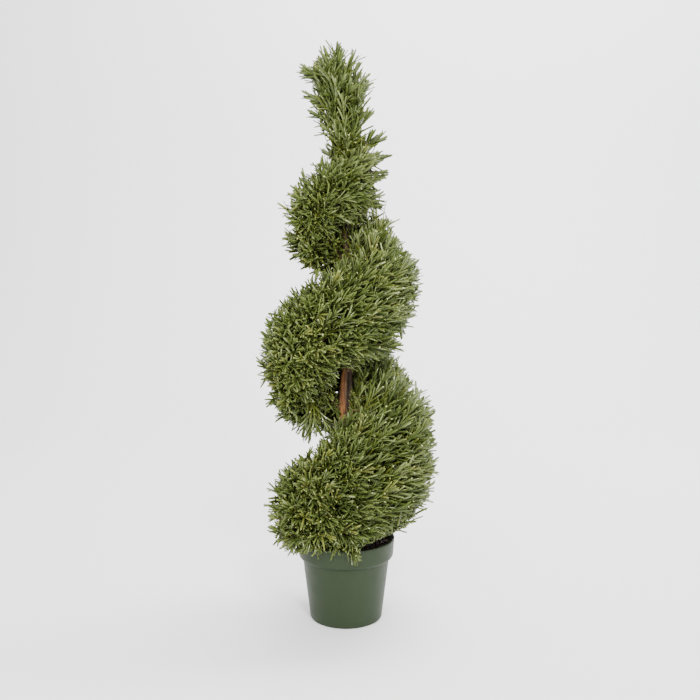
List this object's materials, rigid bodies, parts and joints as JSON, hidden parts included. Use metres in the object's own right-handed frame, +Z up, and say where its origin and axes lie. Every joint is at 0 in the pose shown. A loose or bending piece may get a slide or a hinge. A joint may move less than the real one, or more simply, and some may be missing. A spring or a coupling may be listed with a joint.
{
  "type": "artificial spiral topiary tree",
  "caption": "Tall artificial topiary whose narrow-leaved foliage climbs a woody stem as a tapering spiral, set in a plastic nursery pot.",
  "frame": {"origin": "middle of the pot's flat underside", "axes": "+Z up along the stem; -Y is the front, +X is the right seen from the front"},
  "size_m": [0.3596, 0.3525, 1.219],
  "materials": {
    "pot": "satin",
    "filling": "matte",
    "bark": "matte",
    "foliage": "matte"
  },
  "bodies": {
    "root": {"bough_1": "bark", "bough_2": "bark", "bough_3": "bark", "bough_4": "bark", "bough_5": "bark", "bough_6": "bark", "bough_7": "bark", "bough_8": "bark", "bough_9": "bark", "coil_0_back_left": "foliage", "coil_1_back": "foliage", "coil_1_back_left": "foliage", "coil_1_back_right": "foliage", "coil_1_front": "foliage", "coil_1_front_left": "foliage", "coil_1_front_right": "foliage", "coil_1_left": "foliage", "coil_1_right": "foliage", "coil_2_back": "foliage", "coil_2_back_left": "foliage", "coil_2_back_right": "foliage", "coil_2_front": "foliage", "coil_2_front_left": "foliage", "coil_2_front_right": "foliage", "coil_2_left": "foliage", "coil_2_right": "foliage", "coil_3_back": "foliage", "coil_3_back_right": "foliage", "coil_3_front": "foliage", "coil_3_front_left": "foliage", "coil_3_front_right": "foliage", "coil_3_left": "foliage", "coil_3_right": "foliage", "filling": "filling", "pot": "pot", "tip": "foliage", "trunk": "bark"}
  },
  "joints": []
}
